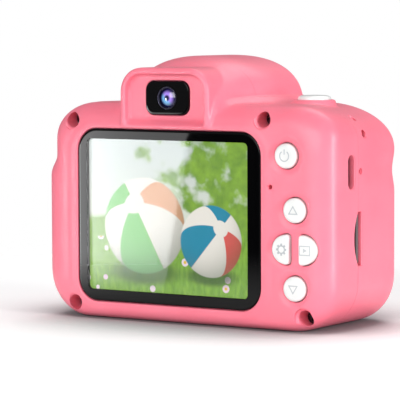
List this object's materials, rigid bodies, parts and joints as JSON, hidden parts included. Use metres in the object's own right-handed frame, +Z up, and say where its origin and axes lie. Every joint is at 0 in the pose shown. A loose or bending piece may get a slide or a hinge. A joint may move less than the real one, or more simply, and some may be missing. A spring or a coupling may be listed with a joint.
{
  "type": "kids digital camera",
  "caption": "Chunky rounded toy camera with a rear screen, press keys, a shutter button, a second lens in an eyepiece hood and a stepped front lens barrel.",
  "frame": {"origin": "middle of the base, under the centre of the overall box", "axes": "+X to the right seen from the screen, +Y out of the lens, +Z up"},
  "size_m": [0.078, 0.045, 0.061],
  "materials": {
    "pink_shell": "satin",
    "white_key": "satin",
    "dark_window": "gloss",
    "clear_window": "gloss",
    "camera_lens": "gloss",
    "black_plastic": "matte",
    "circuit_board": "satin",
    "display": "satin",
    "bright_steel": "brushed",
    "cell_foil": "satin",
    "amber_film": "gloss",
    "red_wire": "satin",
    "black_wire": "satin"
  },
  "bodies": {
    "case": {"battery_cell": "cell_foil", "battery_lead_black": "black_wire", "battery_lead_red": "red_wire", "battery_tape": "amber_film", "board_screw_1": "bright_steel", "board_screw_2": "bright_steel", "card_socket": "bright_steel", "case_screw_1": "bright_steel", "case_screw_2": "bright_steel", "case_screw_3": "bright_steel", "case_screw_4": "bright_steel", "down_switch": "bright_steel", "flash_board": "circuit_board", "flash_window": "clear_window", "front_camera": "black_plastic", "front_camera_flex": "amber_film", "front_lens": "camera_lens", "front_shell": "pink_shell", "lcd_flex": "amber_film", "lcd_frame": "bright_steel", "lcd_panel": "display", "lens_baffle": "black_plastic", "lens_barrel": "pink_shell", "lens_trim_ring": "white_key", "lens_window": "dark_window", "main_board": "circuit_board", "microphone": "black_plastic", "playback_switch": "bright_steel", "power_switch": "bright_steel", "processor_chip": "black_plastic", "rear_shell": "pink_shell", "reset_switch": "bright_steel", "screen_glass": "dark_window", "selfie_camera": "black_plastic", "selfie_flex": "amber_film", "selfie_lens": "camera_lens", "selfie_window": "dark_window", "settings_switch": "bright_steel", "shutter_board": "circuit_board", "shutter_switch": "bright_steel", "speaker": "black_plastic", "speaker_lead_black": "black_wire", "speaker_lead_red": "red_wire", "up_switch": "bright_steel", "usb_socket": "bright_steel"},
    "power_key": {"power_button": "white_key", "power_plunger": "black_plastic"},
    "up_key": {"up_button": "white_key", "up_plunger": "black_plastic"},
    "settings_key": {"settings_button": "white_key", "settings_plunger": "black_plastic"},
    "playback_key": {"playback_button": "white_key", "playback_plunger": "black_plastic"},
    "down_key": {"down_button": "white_key", "down_plunger": "black_plastic"},
    "shutter_key": {"shutter_button": "white_key", "shutter_plunger": "black_plastic"},
    "card": {"memory_card": "black_plastic"},
    "reset_key": {"reset_plunger": "black_plastic"}
  },
  "joints": [
    {"name": "power_press", "type": "slide", "parent": "case", "child": "power_key", "axis": [0, 1, 0], "range_m": [0, 0.0005], "stiffness_N_per_m": 1500},
    {"name": "up_press", "type": "slide", "parent": "case", "child": "up_key", "axis": [0, 1, 0], "range_m": [0, 0.0005], "stiffness_N_per_m": 1500},
    {"name": "settings_press", "type": "slide", "parent": "case", "child": "settings_key", "axis": [0, 1, 0], "range_m": [0, 0.0005], "stiffness_N_per_m": 1500},
    {"name": "playback_press", "type": "slide", "parent": "case", "child": "playback_key", "axis": [0, 1, 0], "range_m": [0, 0.0005], "stiffness_N_per_m": 1500},
    {"name": "down_press", "type": "slide", "parent": "case", "child": "down_key", "axis": [0, 1, 0], "range_m": [0, 0.0005], "stiffness_N_per_m": 1500},
    {"name": "shutter_press", "type": "slide", "parent": "case", "child": "shutter_key", "axis": [0, 0, -1], "range_m": [0, 0.0006], "stiffness_N_per_m": 1500},
    {"name": "card_slide", "type": "slide", "parent": "case", "child": "card", "axis": [1, 0, 0], "range_m": [-0.0008, 0.0165]},
    {"name": "reset_press", "type": "slide", "parent": "case", "child": "reset_key", "axis": [-1, 0, 0], "range_m": [0, 0.0004], "stiffness_N_per_m": 1500}
  ]
}
